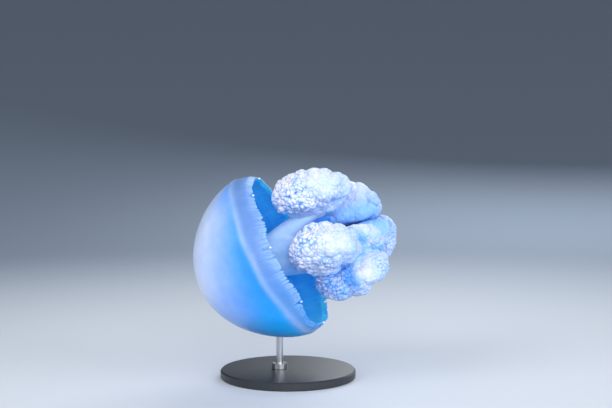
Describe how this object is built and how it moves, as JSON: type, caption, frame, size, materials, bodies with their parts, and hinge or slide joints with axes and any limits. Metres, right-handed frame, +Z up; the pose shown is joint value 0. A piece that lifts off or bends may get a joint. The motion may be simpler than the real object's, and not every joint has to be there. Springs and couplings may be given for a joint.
{
  "type": "jellyfish display model",
  "caption": "Life-size blubber jellyfish with a thick domed bell, scalloped margin and a cluster of stout frilled mouth arms, swimming on a rod over a round display base.",
  "frame": {"origin": "centre of the round base's flat underside, which rests on the floor", "axes": "+Z up; the camera of the picture looks along +Y from about 4 degrees above level, with +X to its right; the bell's crown points to -X and a little down and away"},
  "size_m": [0.2384, 0.1995, 0.2459],
  "materials": {
    "crown_jelly": "wet, milky, clear-edged jelly",
    "margin_jelly": "wet, paler and thinner jelly",
    "mouth_jelly": "wet, smooth, translucent jelly",
    "frill_flesh": "pale granular frills, satin",
    "sense_organ": "small pale beads",
    "base_paint": "satin dark grey paint",
    "rod_steel": "brushed"
  },
  "bodies": {
    "root": {"bell_dome": "crown_jelly", "bell_wall_1": "crown_jelly", "bell_wall_2": "crown_jelly", "bell_wall_3": "crown_jelly", "bell_wall_4": "crown_jelly", "bell_wall_5": "crown_jelly", "bell_wall_6": "crown_jelly", "bell_wall_7": "crown_jelly", "bell_wall_8": "crown_jelly", "bell_margin_1": "margin_jelly", "bell_margin_2": "margin_jelly", "bell_margin_3": "margin_jelly", "bell_margin_4": "margin_jelly", "bell_margin_5": "margin_jelly", "bell_margin_6": "margin_jelly", "bell_margin_7": "margin_jelly", "bell_margin_8": "margin_jelly", "sense_organ_1": "sense_organ", "sense_organ_2": "sense_organ", "sense_organ_3": "sense_organ", "sense_organ_4": "sense_organ", "sense_organ_5": "sense_organ", "sense_organ_6": "sense_organ", "sense_organ_7": "sense_organ", "sense_organ_8": "sense_organ", "mouth_disc": "mouth_jelly", "mouth_pillar_1": "mouth_jelly", "mouth_pillar_2": "mouth_jelly", "mouth_pillar_3": "mouth_jelly", "mouth_pillar_4": "mouth_jelly", "arm_1_upper": "mouth_jelly", "arm_1_frill": "frill_flesh", "arm_2_upper": "mouth_jelly", "arm_2_frill": "frill_flesh", "arm_3_upper": "mouth_jelly", "arm_3_frill": "frill_flesh", "arm_4_upper": "mouth_jelly", "arm_4_frill": "frill_flesh", "arm_5_upper": "mouth_jelly", "arm_5_frill": "frill_flesh", "arm_6_upper": "mouth_jelly", "arm_6_frill": "frill_flesh", "arm_7_upper": "mouth_jelly", "arm_7_frill": "frill_flesh", "arm_8_upper": "mouth_jelly", "arm_8_frill": "frill_flesh", "stand_base": "base_paint", "stand_rod": "rod_steel", "stand_collar": "rod_steel"}
  },
  "joints": []
}
